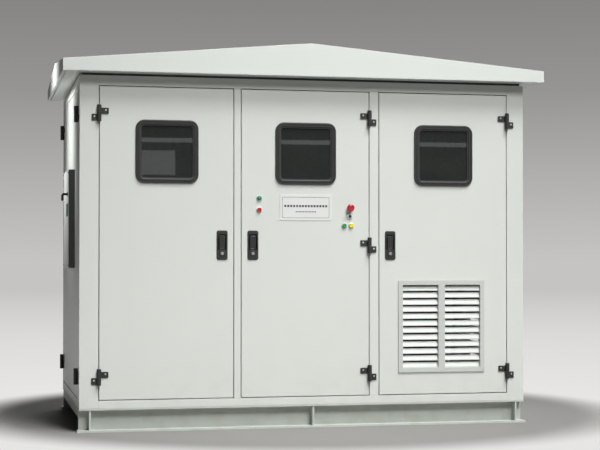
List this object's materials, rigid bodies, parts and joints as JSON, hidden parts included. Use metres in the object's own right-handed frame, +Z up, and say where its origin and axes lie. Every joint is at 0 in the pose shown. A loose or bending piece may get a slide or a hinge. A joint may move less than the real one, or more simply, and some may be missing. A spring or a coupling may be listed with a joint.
{
  "type": "compact substation kiosk",
  "caption": "Sheet-steel compact substation kiosk on a steel skid, with windowed front doors, a side double door, a low folded roof, switchgear, board and dry transformer.",
  "frame": {"origin": "on the ground under the middle of the roof", "axes": "+X to the right of someone facing the front doors, front doors face -Y, +Z up"},
  "size_m": [2.58, 1.53, 2.084],
  "materials": {
    "body_paint": "satin",
    "skid_paint": "satin",
    "zinc_sheet": "satin",
    "seal_rubber": "matte",
    "roof_paint": "satin",
    "hinge_black": "satin",
    "window_glass": "gloss",
    "lock_black": "satin",
    "lock_metal": "gloss",
    "grille_paint": "satin",
    "plate_white": "gloss",
    "bezel_grey": "gloss",
    "lamp_green": "gloss",
    "push_red": "gloss",
    "push_green": "gloss",
    "push_yellow": "gloss",
    "switch_dark": "gloss",
    "core_steel": "matte",
    "coil_resin": "satin",
    "clamp_paint": "satin",
    "case_paint": "satin",
    "busbar_copper": "satin",
    "breaker_plastic": "satin",
    "fan_plastic": "satin",
    "box_grey": "satin",
    "fastener_zinc": "satin"
  },
  "bodies": {
    "cabinet": {"base_beams": "skid_paint", "beam_stiffeners": "skid_paint", "base_cross_members": "skid_paint", "floor_plate": "zinc_sheet", "corner_posts": "body_paint", "door_mullions": "body_paint", "frame_rails": "body_paint", "door_stops": "zinc_sheet", "bay_partitions": "zinc_sheet", "rear_panels": "body_paint", "right_side_panel": "body_paint", "panel_fasteners": "fastener_zinc", "roof_seal": "seal_rubber", "roof_soffit": "roof_paint", "roof_cap": "roof_paint", "frame_hinges": "hinge_black", "transformer_core": "core_steel", "transformer_coils": "coil_resin", "transformer_clamps": "clamp_paint", "switchgear_unit": "case_paint", "lv_mounting_plate": "zinc_sheet", "lv_busbars": "busbar_copper", "lv_breakers": "breaker_plastic", "fan_housing": "fan_plastic"},
    "fan": {"fan_rotor": "fan_plastic"},
    "left_door": {"left_door_panel": "body_paint", "left_window_frame": "seal_rubber", "left_window_glass": "window_glass", "left_lock_dish": "lock_black", "left_hinge_leaves": "hinge_black"},
    "left_grip": {"left_lock_grip": "lock_black"},
    "left_key": {"left_lock_key": "lock_metal"},
    "mid_door": {"mid_door_panel": "body_paint", "mid_window_frame": "seal_rubber", "mid_window_glass": "window_glass", "mid_lock_dish": "lock_black", "mid_hinge_leaves": "hinge_black", "nameplate": "plate_white", "control_bezels": "bezel_grey", "pilot_lens": "lamp_green"},
    "mid_grip": {"mid_lock_grip": "lock_black"},
    "mid_key": {"mid_lock_key": "lock_metal"},
    "right_door": {"right_door_panel": "body_paint", "right_window_frame": "seal_rubber", "right_window_glass": "window_glass", "right_lock_dish": "lock_black", "right_hinge_leaves": "hinge_black", "louvre_grille": "grille_paint"},
    "right_grip": {"right_lock_grip": "lock_black"},
    "right_key": {"right_lock_key": "lock_metal"},
    "push_red": {"button_red": "push_red"},
    "push_green": {"button_green": "push_green"},
    "push_yellow": {"button_yellow": "push_yellow"},
    "estop_push": {"estop_button": "push_red"},
    "key_turn": {"key_switch": "switch_dark"},
    "side_front": {"side_leaf_front": "body_paint", "side_box": "box_grey", "side_box_cover": "body_paint"},
    "side_rear": {"side_leaf_rear": "body_paint"},
    "side_lever": {"side_handle": "lock_black"}
  },
  "joints": [
    {"name": "left_door_hinge", "type": "hinge", "parent": "cabinet", "child": "left_door", "pos_m": [-1.1, -0.692, 0.96], "axis": [0, 0, -1], "range_deg": [0, 110]},
    {"name": "mid_door_hinge", "type": "hinge", "parent": "cabinet", "child": "mid_door", "pos_m": [0.332, -0.692, 0.96], "axis": [0, 0, 1], "range_deg": [0, 90]},
    {"name": "right_door_hinge", "type": "hinge", "parent": "cabinet", "child": "right_door", "pos_m": [1.104, -0.692, 0.96], "axis": [0, 0, 1], "range_deg": [0, 110]},
    {"name": "left_grip_fold", "type": "hinge", "parent": "left_door", "child": "left_grip", "pos_m": [-0.461, -0.678, 1.006], "axis": [-1, 0, 0], "range_deg": [0, 40], "stiffness_Nm_per_rad": 0.4},
    {"name": "left_key_turn", "type": "hinge", "parent": "left_door", "child": "left_key", "pos_m": [-0.461, -0.68, 0.917], "axis": [0, -1, 0], "range_deg": [0, 90]},
    {"name": "mid_grip_fold", "type": "hinge", "parent": "mid_door", "child": "mid_grip", "pos_m": [-0.298, -0.678, 1.006], "axis": [-1, 0, 0], "range_deg": [0, 40], "stiffness_Nm_per_rad": 0.4},
    {"name": "mid_key_turn", "type": "hinge", "parent": "mid_door", "child": "mid_key", "pos_m": [-0.298, -0.68, 0.917], "axis": [0, 1, 0], "range_deg": [0, 90]},
    {"name": "right_grip_fold", "type": "hinge", "parent": "right_door", "child": "right_grip", "pos_m": [0.448, -0.678, 1.006], "axis": [-1, 0, 0], "range_deg": [0, 40], "stiffness_Nm_per_rad": 0.4},
    {"name": "right_key_turn", "type": "hinge", "parent": "right_door", "child": "right_key", "pos_m": [0.448, -0.68, 0.917], "axis": [0, 1, 0], "range_deg": [0, 90]},
    {"name": "push_red_travel", "type": "slide", "parent": "mid_door", "child": "push_red", "axis": [0, 1, 0], "range_m": [0, 0.004], "stiffness_N_per_m": 300},
    {"name": "push_green_travel", "type": "slide", "parent": "mid_door", "child": "push_green", "axis": [0, 1, 0], "range_m": [0, 0.004], "stiffness_N_per_m": 300},
    {"name": "push_yellow_travel", "type": "slide", "parent": "mid_door", "child": "push_yellow", "axis": [0, 1, 0], "range_m": [0, 0.004], "stiffness_N_per_m": 300},
    {"name": "estop_travel", "type": "slide", "parent": "mid_door", "child": "estop_push", "axis": [0, 1, 0], "range_m": [0, 0.006]},
    {"name": "key_switch_turn", "type": "hinge", "parent": "mid_door", "child": "key_turn", "pos_m": [0.226, -0.68, 1.114], "axis": [0, 1, 0], "range_deg": [0, 90]},
    {"name": "side_front_hinge", "type": "hinge", "parent": "cabinet", "child": "side_front", "pos_m": [-1.212, -0.598, 0.96], "axis": [0, 0, 1], "range_deg": [0, 110]},
    {"name": "side_rear_hinge", "type": "hinge", "parent": "cabinet", "child": "side_rear", "pos_m": [-1.212, 0.598, 0.96], "axis": [0, 0, -1], "range_deg": [0, 110]},
    {"name": "side_handle_turn", "type": "hinge", "parent": "side_front", "child": "side_lever", "pos_m": [-1.234, -0.276, 1.236], "axis": [1, 0, 0], "range_deg": [0, 90]},
    {"name": "fan_spin", "type": "hinge", "parent": "cabinet", "child": "fan", "pos_m": [0.745, 0.59, 1.45], "axis": [0, 1, 0], "continuous": true}
  ]
}
